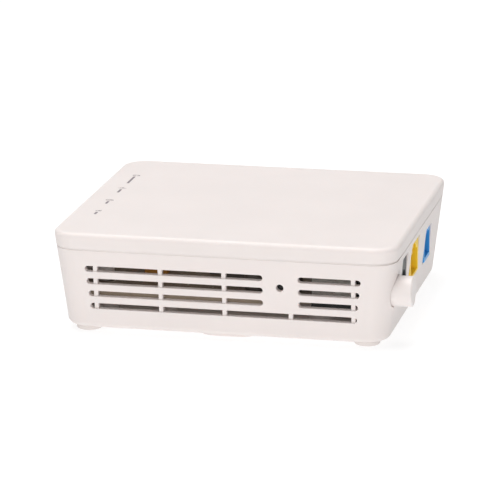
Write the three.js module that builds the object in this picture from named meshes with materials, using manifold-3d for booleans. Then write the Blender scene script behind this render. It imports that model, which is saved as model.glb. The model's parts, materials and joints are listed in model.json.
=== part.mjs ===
// Optical network terminal: a small white desktop box that turns one optical fibre into one Ethernet
// port. A tapered base tub with side vents carries a flat lid, four feet and one circuit board.
//
// Frame: millimetres, +Z up, z = 0 on the table. The numbers below put x = 0 under the middle of the
// box; the finished group is moved along X to centre the whole footprint, button included.
//   -X  front end, with the indicator lamps      +X  rear end, with the sockets and the power button
//   -Y  vented side with the reset pin-hole      +Y  vented side
import * as THREE from "three";
import { mergeVertices } from "three/addons/utils/BufferGeometryUtils.js";
import Module from "manifold-3d";

const wasm = await Module();
wasm.setup();

// ---------------------------------------------------------------- driving dimensions
const LENGTH = 107.0; // along X, at the widest level of the lid
const WIDTH = 97.2; // along Y, at the widest level of the lid
const HEIGHT = 32.0; // table to the top of the lid
const FOOT_H = 1.6; // table to the underside of the tub
const DRAFT = 0.1125; // the walls lean in by this much per millimetre going down
const CORNER_R = 7.6; // plan radius of the four upright edges
const FILLET_TOP = 1.6;
const FILLET_BOTTOM = 1.6;
const FILLET_ANGLES = [0, 1, 2, 3, 4].map((i) => (i * Math.PI) / 8);
const WALL = 2.2;
const FLOOR_T = 2.0;
const LID_T = 2.0;
const RIM_Z = 26.55; // top of the tub's outer wall
const LID_Z = 27.05; // lower edge of the lid's skirt, leaving a 0.5 shadow gap
const SKIRT_T = 0.65; // lid skirt, outside the tub's tongue
const TONGUE_IN = 0.9; // outer face of the tub's tongue, measured in from the wall
const TONGUE_TOP = 28.4;

const WIDEST_Z = HEIGHT - FILLET_TOP;
const TUB_Z = FOOT_H; // underside of the tub
const FLOOR_Z = TUB_Z + FLOOR_T; // upper face of the tub's floor

const PCB_TOP = 12.9;
const PCB_T = 1.6;
const SEAT = 0.02; // gap between the board and the parts standing on it
const PAST = 1; // how far a cutting tool runs past the face it opens

// Posts for the screws that hold tub, board and lid together, [x, y].
const POSTS = [[-41, -30], [-41, 30], [41, 33], [27, -27]];
const SCREW_Z = 4.45; // underside of the screw heads

const FOOT_R = 4.0;
const FEET = {
  foot_front_right: [-43.5, -39.8],
  foot_front_left: [-43.5, 39.8],
  foot_rear_right: [43.5, -39.8],
  foot_rear_left: [43.5, 39.8],
};
const LABEL = [52, 30];

const LAMP_Y = [21.3, 7.0, -8.7, -22.2]; // power, optical link, loss of signal, LAN
const LAMP_Z = 20.0;

// Sockets in the rear wall: middle y, width, height, depth and the x of the front face.
const SOCKET_FACE_X = 52.1;
const INLET = { y: -25.7, w: 9.0, h: 11.0, depth: 14.0, face: SOCKET_FACE_X, boreZ: 16.9, boreR: 3.0 };
const LAN = { y: -6.9, w: 14.8, h: 11.2, depth: 16.5, face: SOCKET_FACE_X };
const OPTICAL = { y: 18.75, z: 16.65, w: 10.4, h: 10.4, depth: 13.0, face: 51.85 };

const BUTTON_Y = -37.8;
const BUTTON_Z = 16.5;
const BUTTON_R = 4.7;
const BUTTON_TIP_X = 57.3; // button out, power off
const SWITCH_X = [26.5, 40.5]; // ends of the power switch's body

const RESET_X = 17.9;
const RESET_Z = 17.9;
const RESET_BODY_Y = [-41.5, -38.0];

// ---------------------------------------------------------------- spans
// A span is [low, high] along one axis.
const around = (middle, size) => [middle - size / 2, middle + size / 2];
// From inner to outer away from a middle, towards + (side = 1) or - (side = -1).
const sideSpan = (side, inner, outer, middle = 0) =>
  side > 0 ? [middle + inner, middle + outer] : [middle - outer, middle - inner];
const aboveBoard = (z) => z - PCB_TOP;

// The box's own walls at height z, and its whole outline there, moved in by inset.
const halfX = (z) => LENGTH / 2 - DRAFT * (WIDEST_Z - z);
const halfY = (z) => WIDTH / 2 - DRAFT * (WIDEST_Z - z);
const outline = (z, inset) => ({
  z,
  a: halfX(z) - inset,
  b: halfY(z) - inset,
  r: CORNER_R - inset,
});

// ---------------------------------------------------------------- solids
const WELD_DISTANCE = 1e-4;

function solid(geometry) {
  const bare = geometry.index ? geometry.toNonIndexed() : geometry.clone();
  for (const name of Object.keys(bare.attributes)) {
    if (name !== "position") bare.deleteAttribute(name);
  }
  const merged = mergeVertices(bare, WELD_DISTANCE);
  return new wasm.Manifold(
    new wasm.Mesh({
      numProp: 3,
      vertProperties: new Float32Array(merged.attributes.position.array),
      triVerts: new Uint32Array(merged.index.array),
    }),
  );
}

function geometryOf(made) {
  const mesh = made.getMesh();
  const points = new Float32Array(mesh.numVert * 3);
  for (let i = 0; i < mesh.numVert; i++) {
    const start = i * mesh.numProp;
    points.set(mesh.vertProperties.subarray(start, start + 3), i * 3);
  }
  const geometry = new THREE.BufferGeometry()
    .setAttribute("position", new THREE.BufferAttribute(points, 3))
    .setIndex(new THREE.BufferAttribute(new Uint32Array(mesh.triVerts), 1));
  geometry.computeVertexNormals();
  return geometry;
}

const join = (...solids) => solids.reduce((whole, next) => whole.add(next));
const cut = (body, ...tools) => tools.reduce((rest, tool) => rest.subtract(tool), body);

const vectors = (points) => points.map(([u, v]) => new THREE.Vector2(u, v));
const extrude = (shape, depth, options) =>
  new THREE.ExtrudeGeometry(shape, { depth, bevelEnabled: false, ...options });

// A box over three spans.
function block([x0, x1], [y0, y1], [z0, z1]) {
  const box = new THREE.BoxGeometry(x1 - x0, y1 - y0, z1 - z0);
  return solid(box.translate((x0 + x1) / 2, (y0 + y1) / 2, (z0 + z1) / 2));
}

// A box standing on z = 0 and centred in plan.
const slab = (length, width, height) => block(around(0, length), around(0, width), [0, height]);

// A cylinder along an axis, at [u, v] in the two other coordinates.
function rod(axis, radius, [from, to], [u, v], segments = 24) {
  const middle = (from + to) / 2;
  const cylinder = new THREE.CylinderGeometry(radius, radius, to - from, segments);
  if (axis === "x") cylinder.rotateZ(-Math.PI / 2).translate(middle, u, v);
  else if (axis === "y") cylinder.translate(u, middle, v);
  else cylinder.rotateX(Math.PI / 2).translate(u, v, middle);
  return solid(cylinder);
}

// A turned geometry from [radius, distance along the axis] points, about Z or X.
function turnedZ(profile, segments) {
  return new THREE.LatheGeometry(vectors(profile), segments).rotateX(Math.PI / 2);
}
function turnedX(profile, segments) {
  return new THREE.LatheGeometry(vectors(profile), segments).rotateZ(-Math.PI / 2);
}

// A rounded rectangle with half sizes a and b and corner radius r.
function roundedShape(a, b, r) {
  const shape = new THREE.Shape();
  shape.moveTo(a, -b + r);
  shape.lineTo(a, b - r);
  shape.absarc(a - r, b - r, r, 0, Math.PI / 2);
  shape.lineTo(-a + r, b);
  shape.absarc(-a + r, b - r, r, Math.PI / 2, Math.PI);
  shape.lineTo(-a, -b + r);
  shape.absarc(-a + r, -b + r, r, Math.PI, 1.5 * Math.PI);
  shape.lineTo(a - r, -b);
  shape.absarc(a - r, -b + r, r, 1.5 * Math.PI, 2 * Math.PI);
  return shape;
}

// A plate with rounded corners, lying flat.
function plate([length, width], corner, [z0, z1], segments = 3, [x, y] = [0, 0]) {
  const shape = roundedShape(length / 2, width / 2, corner);
  return solid(extrude(shape, z1 - z0, { curveSegments: segments }).translate(x, y, z0));
}

// A rounded rectangle whose size changes with height: each level is {z, a, b, r}.
function tapered(levels) {
  const steps = levels.length - 1;
  const { a, b, r } = levels[0];
  const geometry = extrude(roundedShape(a, b, r), steps, { steps, curveSegments: 5 });
  const points = geometry.attributes.position;
  for (let i = 0; i < points.count; i++) {
    const x = points.getX(i);
    const y = points.getY(i);
    const to = levels[Math.round(points.getZ(i))];
    const signX = Math.sign(x);
    const signY = Math.sign(y);
    // place round the corner, as a fraction of its radius
    const cornerX = (x - signX * (a - r)) / r;
    const cornerY = (y - signY * (b - r)) / r;
    const newX = signX * (to.a - to.r) + to.r * cornerX;
    const newY = signY * (to.b - to.r) + to.r * cornerY;
    points.setXYZ(i, newX, newY, to.z);
  }
  return solid(geometry);
}

// A shape drawn in X and Z, extruded along Y.
function alongY(shape, [y0, y1], options) {
  const geometry = extrude(shape, y1 - y0, options);
  return solid(geometry.rotateX(Math.PI / 2).translate(0, y1, 0));
}
const profileY = (points, span) => alongY(new THREE.Shape(vectors(points)), span);

// A profile of [y, z] points, extruded along X.
function profileX(points, [x0, x1]) {
  const swap = new THREE.Matrix4().set(0, 0, 1, 0, 1, 0, 0, 0, 0, 1, 0, 0, 0, 0, 0, 1);
  const geometry = extrude(new THREE.Shape(vectors(points)), x1 - x0);
  return solid(geometry.applyMatrix4(swap).translate(x0, 0, 0));
}

// A level slot with full round ends, cut along Y.
function slotY([x0, x1], z, height, ySpan) {
  const r = height / 2;
  const shape = new THREE.Shape();
  shape.moveTo(x0 + r, z - r);
  shape.lineTo(x1 - r, z - r);
  shape.absarc(x1 - r, z, r, -Math.PI / 2, Math.PI / 2);
  shape.lineTo(x0 + r, z + r);
  shape.absarc(x0 + r, z, r, Math.PI / 2, 1.5 * Math.PI);
  return alongY(shape, ySpan, { curveSegments: 3 });
}

// ---------------------------------------------------------------- materials
const finish = (settings) => new THREE.MeshStandardMaterial(settings);
const WHITE_ABS = finish({ color: 0xefe8e5, roughness: 0.42 });
const WHITE_BUTTON = finish({ color: 0xf2eeec, roughness: 0.35 });
const WHITE_STEM = finish({ color: 0xe8e6e0, roughness: 0.5 });
const WHITE_PLUNGER = finish({ color: 0xe4e2dc, roughness: 0.5 });
const WHITE_RUBBER = finish({ color: 0xdedad7, roughness: 0.8 });
const YELLOW = finish({ color: 0xe0ac1c, roughness: 0.45 });
const BLUE = finish({ color: 0x2c70b4, roughness: 0.4 });
const BLACK = finish({ color: 0x17171a, roughness: 0.5 });
const CHIP = finish({ color: 0x1b1b1e, roughness: 0.6 });
const BOARD_MASK = finish({ color: 0x2a2723, roughness: 0.45 });
const CLEAR = finish({ color: 0xe6eef0, roughness: 0.12 });
const STEEL = finish({ color: 0x9a958c, roughness: 0.35, metalness: 0.9 });
const BRASS = finish({ color: 0xc09a45, roughness: 0.3, metalness: 1.0 });
const ALUMINIUM = finish({ color: 0xb4b6b8, roughness: 0.4, metalness: 0.9 });
const CERAMIC = finish({ color: 0xf3f1ea, roughness: 0.3 });
const PAD_GREY = finish({ color: 0x8b9096, roughness: 0.85 });
const PAPER = finish({ color: 0xe9e9e6, roughness: 0.7 });
const ORANGE = finish({ color: 0xc98a2e, roughness: 0.5 });
const LAMP_WHITE = finish({ color: 0xf2efe0, roughness: 0.5 });
const INDUCTOR_GREY = finish({ color: 0x3a3a3d, roughness: 0.65 });
const CAN_SLEEVE = finish({ color: 0x23232b, roughness: 0.4 });

// ---------------------------------------------------------------- scene graph
const terminal = new THREE.Group();
const housing = new THREE.Group();
const board = new THREE.Group(); // z = 0 in this group is the board's upper face
const powerButton = new THREE.Group();
const resetButton = new THREE.Group();
terminal.add(housing, powerButton, resetButton);
housing.add(board);
board.position.z = PCB_TOP;
powerButton.position.set(0, BUTTON_Y, BUTTON_Z);
resetButton.position.set(RESET_X, RESET_BODY_Y[0], RESET_Z);

function add(group, name, made, material, [x, y, z] = [0, 0, 0]) {
  const geometry = made.isBufferGeometry ? made : geometryOf(made);
  const mesh = new THREE.Mesh(geometry, material);
  mesh.name = name;
  mesh.position.set(x, y, z);
  group.add(mesh);
}

// ---------------------------------------------------------------- base tub
const PAD_Y = 36.0; // centre of each keyhole pad, on both sides of the base
const PAD_SIZE = [18.6, 12.0];
const PAD_H = 1.45;
const RESTS = [[44, -12], [44, 7.5], [-20, -30], [0, 30]]; // plain rests under the board
const UNDER_BOARD = [TUB_Z + 1, PCB_TOP - PCB_T - 0.1]; // posts and rests stop 0.1 below it
const THROUGH_FLOOR = [-PAST, FLOOR_Z + PAST];

function tubBody() {
  const outer = tapered([
    ...FILLET_ANGLES.map((t) =>
      outline(TUB_Z + FILLET_BOTTOM * (1 - Math.cos(t)), FILLET_BOTTOM * (1 - Math.sin(t))),
    ),
    outline(RIM_Z, 0),
  ]);
  const floorEdge = 0.9; // slope between floor and walls
  const cavity = tapered([
    outline(FLOOR_Z, WALL + floorEdge),
    outline(FLOOR_Z + floorEdge, WALL),
    outline(TONGUE_TOP + PAST, WALL),
  ]);
  const tongue = tapered([outline(RIM_Z - 1, TONGUE_IN), outline(TONGUE_TOP, TONGUE_IN)]);
  return join(
    cut(outer, cavity),
    cut(tongue, cavity),
    ...[-1, 1].map((side) =>
      plate(PAD_SIZE, 5.4, [TUB_Z - PAD_H, TUB_Z + 1], 5, [0, side * PAD_Y]),
    ),
    ...POSTS.map((at) => rod("z", 4.2, UNDER_BOARD, at)),
    ...RESTS.map((at) => rod("z", 2.2, UNDER_BOARD, at, 16)),
  );
}

// A round entry for a screw head and a narrow slot towards +X.
function keyhole(y) {
  const entryX = -3.4;
  const slotEndX = 5.0;
  const slotR = 1.7;
  return [
    rod("z", 3.4, THROUGH_FLOOR, [entryX, y]),
    block([entryX, slotEndX], around(y, 2 * slotR), THROUGH_FLOOR),
    rod("z", slotR, THROUGH_FLOOR, [slotEndX, y], 16),
  ];
}

function floorCuts() {
  const below = TUB_Z - PAST;
  const cuts = [];
  for (const at of POSTS) {
    cuts.push(rod("z", 2.8, [below, 6.0], at)); // well for the screw head
    cuts.push(rod("z", 1.5, [5, 12], at, 20));
  }
  for (const at of Object.values(FEET)) {
    cuts.push(rod("z", FOOT_R + 0.15, [below, TUB_Z + 0.6], at, 28));
  }
  cuts.push(...keyhole(-PAD_Y), ...keyhole(PAD_Y));
  // shallow recess for the label, and vent slots at both its ends
  cuts.push(plate(LABEL.map((size) => size + 0.6), 1.2, [below, TUB_Z + 0.35], 2));
  for (const side of [-1, 1]) {
    for (let i = -2; i <= 2; i++) {
      cuts.push(plate([2.0, 4.8], 0.95, THROUGH_FLOOR, 2, [side * 35, i * 6.5]));
    }
  }
  return cuts;
}

// Side vents: long slots crossed by set-back upright ribs.
const SLOT_H = 1.8;
// Slot centre height, outermost slot end, and whether the -Y side leaves out SLOT_GAP.
const SLOT_ROWS = [
  [20.8, 42.7, true],
  [16.8, 42.3, true],
  [12.8, 41.8, true],
  [8.8, 41.4, false],
];
const SLOT_GAP = [12.6, 23.5]; // plain wall round the reset pin-hole
const RIBS = [-39.6, -19.3, 0.5, 21.0, 40.3];
const RIB_W = 1.3;
const RIB_SET_BACK = 0.45;
const RIB_END_MARGIN = 1; // a rib nearer than this to a slot's end is left out

// A rib leans with the wall, a little behind its outer face.
function ventRib(side, x, z, wallY) {
  const lean = DRAFT * SLOT_H;
  const outerY = wallY - RIB_SET_BACK;
  const innerY = wallY - WALL - 2.5;
  const profile = [
    [side * (outerY - lean), z - SLOT_H],
    [side * (outerY + lean), z + SLOT_H],
    [side * innerY, z + SLOT_H],
    [side * innerY, z - SLOT_H],
  ];
  return profileX(profile, around(x, RIB_W));
}

function sideVents(side) {
  return SLOT_ROWS.flatMap(([z, end, gapped]) => {
    const wallY = halfY(z);
    const ySpan = sideSpan(side, wallY - WALL - 1.5, wallY + PAST);
    const slots = gapped && side < 0 ? [[-end, SLOT_GAP[0]], [SLOT_GAP[1], end]] : [[-end, end]];
    return slots.map(([x0, x1]) => {
      const ribs = RIBS.filter((x) => x >= x0 + RIB_END_MARGIN && x <= x1 - RIB_END_MARGIN);
      return cut(
        slotY([x0, x1], z, SLOT_H, ySpan),
        ...ribs.map((x) => ventRib(side, x, z, wallY)),
      );
    });
  });
}

// A chamfered opening in the rear wall, leaving a gap all round the socket.
function socketOpening({ y, w }, [bottom, top]) {
  const gap = 0.4;
  const chamfer = 0.5;
  const [y0, y1] = [y - w / 2 - gap, y + w / 2 + gap];
  const [z0, z1] = [bottom - gap, top + gap];
  const profile = [
    [y0 + chamfer, z0],
    [y1 - chamfer, z0],
    [y1, z0 + chamfer],
    [y1, z1 - chamfer],
    [y1 - chamfer, z1],
    [y0 + chamfer, z1],
    [y0, z1 - chamfer],
    [y0, z0 + chamfer],
  ];
  return profileX(profile, [46.9, 56]);
}

function wallCuts() {
  const resetWallY = halfY(RESET_Z);
  const resetSpan = sideSpan(-1, resetWallY - WALL - PAST, resetWallY + PAST);
  return [
    ...sideVents(-1),
    ...sideVents(1),
    rod("y", 1.15, resetSpan, [RESET_X, RESET_Z]),
    socketOpening(INLET, [PCB_TOP, PCB_TOP + INLET.h]),
    socketOpening(LAN, [PCB_TOP, PCB_TOP + LAN.h]),
    socketOpening(OPTICAL, around(OPTICAL.z, OPTICAL.h)),
    rod("x", BUTTON_R + 0.35, [44.5, 60], [BUTTON_Y, BUTTON_Z], 40),
    ...LAMP_Y.map((y) => rod("x", 1.3, [-56, -48.5], [y, LAMP_Z], 20)),
  ];
}

// ---------------------------------------------------------------- lid, feet, screws
// A flat lid with a skirt, and a bored boss down to the board at each screw post.
function topCover() {
  const outer = tapered([
    outline(LID_Z, 0),
    ...FILLET_ANGLES.map((t) => ({
      ...outline(WIDEST_Z, FILLET_TOP * (1 - Math.cos(t))),
      z: WIDEST_Z + FILLET_TOP * Math.sin(t),
    })),
  ]);
  const underside = HEIGHT - LID_T;
  const inside = tapered([outline(LID_Z - PAST, SKIRT_T), outline(underside, SKIRT_T)]);
  let lid = cut(outer, inside);
  for (const at of POSTS) {
    const boss = rod("z", 3.0, [PCB_TOP + 0.2, underside + 1], at);
    lid = cut(join(lid, boss), rod("z", 1.15, [PCB_TOP - PAST, 26], at, 16));
  }
  return lid;
}

function foot() {
  const profile = [
    [0, 0],
    [FOOT_R - 1.2, 0],
    [FOOT_R - 0.55, 0.18],
    [FOOT_R - 0.15, 0.6],
    [FOOT_R, 1.2],
    [FOOT_R, FOOT_H + 0.55],
    [0, FOOT_H + 0.55],
  ];
  return turnedZ(profile, 28);
}

// Head down, with a cross recess.
function caseScrew() {
  const profile = [
    [0, 0], [1.2, 0], [2.1, 0.5], [2.4, 1.1], [2.4, 1.5],
    [1.0, 1.5], [1.0, 14.6], [0.25, 15.6], [0, 15.6],
  ];
  const [long, narrow, deep] = [around(0, 3), around(0, 0.6), [-PAST, 0.9]];
  return cut(solid(turnedZ(profile, 20)), block(long, narrow, deep), block(narrow, long, deep));
}

function addHousing() {
  add(housing, "base_shell", cut(tubBody(), ...floorCuts(), ...wallCuts()), WHITE_ABS);
  add(housing, "top_cover", topCover(), WHITE_ABS);
  for (const [name, [x, y]] of Object.entries(FEET)) {
    add(housing, name, foot(), WHITE_RUBBER, [x, y, 0]);
  }
  POSTS.forEach(([x, y], i) =>
    add(housing, `case_screw_${i + 1}`, caseScrew(), STEEL, [x, y, SCREW_Z]),
  );
  add(housing, "blank_label", plate(LABEL, 1.0, [0, 0.2], 2), PAPER, [0, 0, TUB_Z + 0.1]);
}

// ---------------------------------------------------------------- circuit board
function mainBoard() {
  const { y, w, depth, face } = OPTICAL;
  const through = [-3, 1];
  return cut(
    plate([96, 86], 5, [-PCB_T, 0]),
    ...POSTS.map((at) => rod("z", 1.6, [-3, 2], at, 16)),
    // a step in the edge that the power switch's skirt hooks over
    block([22.6, 44], [-46, BUTTON_Y - 2.0], through),
    // the notch the optical receptacle sits down in
    block([face - depth - 0.4, 50], around(y, w + 1), through),
    // the notch the power button slides over
    block([43.2, 50], [-46, BUTTON_Y + BUTTON_R + 0.6], through),
  );
}

// One leg and one round pipe to the front wall for each lamp, tied together by a bar.
function lightGuide() {
  const z = aboveBoard(LAMP_Z);
  const legX = [-47.1, -44.9];
  const pipeR = 1.1;
  const firstY = LAMP_Y[3];
  const lastY = LAMP_Y[0];
  let guide = block(legX, [firstY - pipeR, lastY + pipeR], [3.2, 4.8]);
  for (const y of LAMP_Y) {
    guide = join(
      guide,
      block(legX, around(y, 2 * pipeR), [1.1, z + pipeR]),
      rod("x", pipeR, [-52.1, -46.5], [y, z], 20),
    );
  }
  // the upper +X edge of each leg is a 45 degree mirror
  const mirror = [[-44.2, z - 1.1], [-44.2, z + 2.2], [-47.5, z + 2.2]];
  return cut(guide, profileY(mirror, [firstY - 2, lastY + 2]));
}

function addIndicators() {
  LAMP_Y.forEach((y, i) =>
    add(board, `indicator_lamp_${i + 1}`, slab(1.4, 2.0, 0.8), LAMP_WHITE, [-46.0, y, SEAT]),
  );
  add(board, "light_guide", lightGuide(), CLEAR);
}

// ---------------------------------------------------------------- LAN jack
// Plastic shell with the plug opening, latch way up, and a comb of eight spring contacts.
function addLanJack() {
  const { y, w, h, depth, face } = LAN;
  const outside = face + PAST;
  const shell = cut(
    block([face - depth, face], around(y, w), [0, h]),
    block([face - 13.5, outside], around(y, 11.7), [0.9, 7.9]),
    block([face - 9.5, outside], around(y, 6.4), [7.5, 9.4]),
    block([face - 9.5, outside], around(y, 3.4), [9.0, 10.3]),
  );
  add(board, "lan_jack_shell", shell, YELLOW, [0, 0, SEAT]);

  const pitch = 1.02;
  const finger = [
    [face - 2.6, 1.05],
    [face - 2.6, 1.45],
    [face - 4.4, 1.45],
    [face - 12.0, 4.65],
    [face - 12.2, 4.25],
    [face - 4.5, 1.05],
  ];
  let comb = block([face - 3.4, face - 2.6], around(y, 8.4), [1.05, 1.45]);
  for (let i = 0; i < 8; i++) {
    comb = join(comb, profileY(finger, around(y + (i - 3.5) * pitch, 0.46)));
  }
  add(board, "lan_jack_contacts", comb, BRASS);
}

// ---------------------------------------------------------------- power inlet
// Barrel jack with centre pin and a spring above the bore.
function addPowerInlet() {
  const { y, w, h, depth, face, boreZ, boreR } = INLET;
  const z = aboveBoard(boreZ);
  const shell = cut(
    block([face - depth, face], around(y, w), [0, h]),
    rod("x", boreR, [face - 9.5, face + PAST], [y, z], 32),
    block([face - 9.0, face - 1.5], around(y, 2.2), [z + 2, z + 4.4]),
  );
  add(board, "power_inlet_shell", shell, BLACK, [0, 0, SEAT]);

  const pin = [[0, 0], [1.6, 0], [1.6, 0.7], [1.0, 0.7], [1.0, 7.7], [0.55, 8.3], [0, 8.4]];
  add(board, "power_inlet_pin", turnedX(pin, 20), STEEL, [face - 9.45, y, z]);

  const spring = [
    [face - 8.8, z + 3.9],
    [face - 5.0, z + 2.75],
    [face - 3.6, z + 2.75],
    [face - 2.0, z + 3.5],
    [face - 2.0, z + 3.75],
    [face - 3.7, z + 3.0],
    [face - 5.0, z + 3.0],
    [face - 8.8, z + 4.2],
  ];
  add(board, "power_inlet_spring", profileY(spring, around(y, 1.8)), BRASS);
}

// ---------------------------------------------------------------- optical receptacle
function addOpticalReceptacle() {
  const { y, w, h, depth, face } = OPTICAL;
  const z = aboveBoard(OPTICAL.z);
  const inside = [face - 11.0, face + PAST];
  const sides = [-1, 1];
  let shell = cut(
    block([face - depth, face], around(y, w), around(z, h)),
    block(inside, around(y, 9), [z - 3.9, z + 3.5]),
    block(inside, around(y, 2.3), [z + 3, z + 4.5]),
  );
  // the round barrel and a rail on each side of it
  shell = join(
    shell,
    rod("x", 2.4, [face - 11.4, face - 4.2], [y, z]),
    ...sides.map((side) =>
      block([face - 11.4, face - 3.4], sideSpan(side, 3.4, 4.1, y), around(z, 2.6)),
    ),
  );
  shell = cut(shell, rod("x", 1.72, [face - 20, face - 3.2], [y, z]));
  // a wing on each side rests on the board beside the notch
  const wingX = [face - 12.6, face - 6.2];
  shell = join(
    shell,
    ...sides.map((side) =>
      block(wingX, sideSpan(side, w / 2 - 0.4, w / 2 + 2.6, y), [SEAT, 1.6]),
    ),
  );
  add(board, "optical_receptacle", shell, BLUE);

  const sleeve = cut(
    rod("x", 1.6, [face - 12.7, face - 4.5], [y, z]),
    rod("x", 1.25, [face - 13.5, face - 4], [y, z]),
  );
  add(board, "alignment_sleeve", sleeve, CERAMIC);
}

// The transceiver stands behind the receptacle, towards -X.
function addTransceiver() {
  const { y } = OPTICAL;
  const z = aboveBoard(OPTICAL.z);
  const near = OPTICAL.face - OPTICAL.depth - 0.1; // the end next to the receptacle
  const body = join(
    block([near - 7.5, near - 1.6], around(y, 7.2), around(z, 7.2)),
    rod("x", 2.9, [near - 2, near], [y, z]),
  );
  add(board, "transceiver_body", body, ALUMINIUM);

  const leads = [[-1, 0], [1, 0], [0, -1], [0, 1]];
  const laser = join(
    rod("x", 2.35, [near - 10.8, near - 8.7], [y, z]),
    rod("x", 2.8, [near - 8.8, near - 7.6], [y, z]),
    ...leads.map(([dy, dz]) => rod("x", 0.22, [near - 14.2, near - 10.5], [y + dy, z + dz], 8)),
  );
  add(board, "laser_can", laser, BRASS);

  const photodiode = join(
    rod("y", 2.7, [y + 3.7, y + 4.8], [near - 4.6, z]),
    rod("y", 2.2, [y + 4.7, y + 7.4], [near - 4.6, z]),
  );
  add(board, "photodiode_can", photodiode, BRASS);

  // sheet-metal cover: roof, one full wall at -Y and two narrow legs at +Y
  const x0 = near - 8.3;
  const x1 = near - 0.6;
  const upright = [SEAT, z + 4.45];
  const legY = [y + 3.9, y + 4.2];
  const shield = join(
    block([x0, x1], [y - 4.6, y + 4.3], [z + 4.3, z + 4.6]),
    block([x0 + 0.1, x1 - 0.1], [y - 4.5, y - 4.2], upright),
    block([x0 + 0.1, x0 + 0.7], legY, upright),
    block([x1 - 1.2, x1 - 0.1], legY, upright),
  );
  add(board, "transceiver_shield", shield, STEEL);
}

// ---------------------------------------------------------------- power switch
// Push-push switch: black body with a skirt over the board's edge, metal frame, return spring.
function addPowerSwitch() {
  const y = BUTTON_Y;
  const z = aboveBoard(BUTTON_Z);
  const [x0, x1] = SWITCH_X;
  const body = cut(
    join(
      block(SWITCH_X, around(y, 7.8), [SEAT, z + 3.9]),
      block(SWITCH_X, [y - 3.9, y - 2.35], [-PCB_T - 0.3, 0.5]),
    ),
    block([x0 + 1.5, x1 + PAST], around(y, 4.3), around(z, 4.3)),
  );
  add(board, "power_switch_body", body, BLACK);

  const frameX = [x0 + 0.2, x1 - 0.8];
  const frame = join(
    block(frameX, around(y, 8.7), [z + 4.0, z + 4.35]),
    ...[-1, 1].map((side) => block(frameX, sideSpan(side, 4.0, 4.35, y), [z - 3.2, z + 4.1])),
  );
  add(board, "power_switch_frame", frame, STEEL);
  add(board, "power_switch_spring", returnSpring(), STEEL, [0, y, z]);
}

// Coil spring round the stem, between the switch body and the stem's collar.
function returnSpring() {
  const turns = 4.5;
  const startX = SWITCH_X[1] + 0.4;
  const length = 4.0;
  const radius = 2.9;
  const wireR = 0.22;
  class Coil extends THREE.Curve {
    getPoint(t, target = new THREE.Vector3()) {
      const angle = t * turns * 2 * Math.PI;
      return target.set(startX + t * length, radius * Math.cos(angle), radius * Math.sin(angle));
    }
  }
  const wire = new THREE.Shape();
  wire.absarc(0, 0, wireR, 0, 2 * Math.PI);
  return solid(
    new THREE.ExtrudeGeometry(wire, {
      steps: 72,
      curveSegments: 3,
      bevelEnabled: false,
      extrudePath: new Coil(),
    }),
  );
}

// ---------------------------------------------------------------- reset switch
// Upright body in a metal bracket, behind the pin-hole.
function addResetSwitch() {
  const [y0, y1] = RESET_BODY_Y;
  const z = aboveBoard(RESET_Z);
  const body = cut(
    block(around(RESET_X, 6), RESET_BODY_Y, around(z, 6)),
    rod("y", 1.85, [y0 - PAST, y0 + 1.9], [RESET_X, z]),
  );
  add(board, "reset_switch_body", body, BLACK);

  const acrossX = around(RESET_X, 6.8);
  const flangeY = [y0 + 0.3, y1 + 0.2];
  const upright = [SEAT, z + 3.35];
  const bracket = join(
    block(acrossX, [y1 + 0.05, y1 + 0.35], upright),
    ...[-1, 1].map((side) => block(sideSpan(side, 3.05, 3.4, RESET_X), flangeY, upright)),
    block(acrossX, flangeY, [z + 3.05, z + 3.35]),
  );
  add(board, "reset_switch_bracket", bracket, STEEL);
}

// ---------------------------------------------------------------- processing and supply parts
// Name, x, y, length, width, height.
const CHIPS = [
  ["memory_chip", -22, 10, 8, 13, 1.0],
  ["flash_chip", -22, -6, 8, 6, 1.7],
  ["laser_driver_chip", 22, 12, 5, 5, 0.9],
  ["supply_chip_1", 8, -14, 4.9, 3.9, 1.5],
  ["supply_chip_2", -8, -16, 4.9, 3.9, 1.5],
];
const INDUCTORS = [[15, -18], [-1, -19]]; // x, y
// x, y, radius, height.
const ELECTROLYTICS = [
  [17.5, -29.5, 4.0, 11.2],
  [7.5, -31, 4.0, 11.2],
  [19, 25, 3.15, 8.5],
];

// A square base with upright fins that run along Y.
function heatSink() {
  const size = 22;
  const height = 8;
  const baseT = 1.8;
  const finT = 1.2;
  const fins = 7;
  const pitch = (size - finT) / (fins - 1);
  const comb = [];
  for (let i = fins - 1; i >= 0; i--) {
    const x0 = -size / 2 + i * pitch;
    const x1 = x0 + finT;
    comb.push([x1, baseT], [x1, height], [x0, height], [x0, baseT]);
  }
  // the two end fins are flush with the base, so they have no outer foot point
  const profile = [[-size / 2, 0], [size / 2, 0], ...comb.slice(1, -1)];
  return profileY(profile, around(0, size));
}

// A can with a groove round its lower part.
function electrolytic(radius, height) {
  const profile = [
    [0, 0],
    [radius - 0.3, 0],
    [radius, 0.3],
    [radius, 1.0],
    [radius - 0.25, 1.35],
    [radius, 1.7],
    [radius, height - 0.4],
    [radius - 0.5, height],
    [0, height],
  ];
  return turnedZ(profile, 24);
}

// A block with a step along both upper long edges.
function lanTransformer() {
  const steps = [-1, 1].map((side) => block(sideSpan(side, 4.3, 5), [-8, 8], [4.9, 6]));
  return cut(slab(9.6, 15.2, 5.4), ...steps);
}

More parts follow.
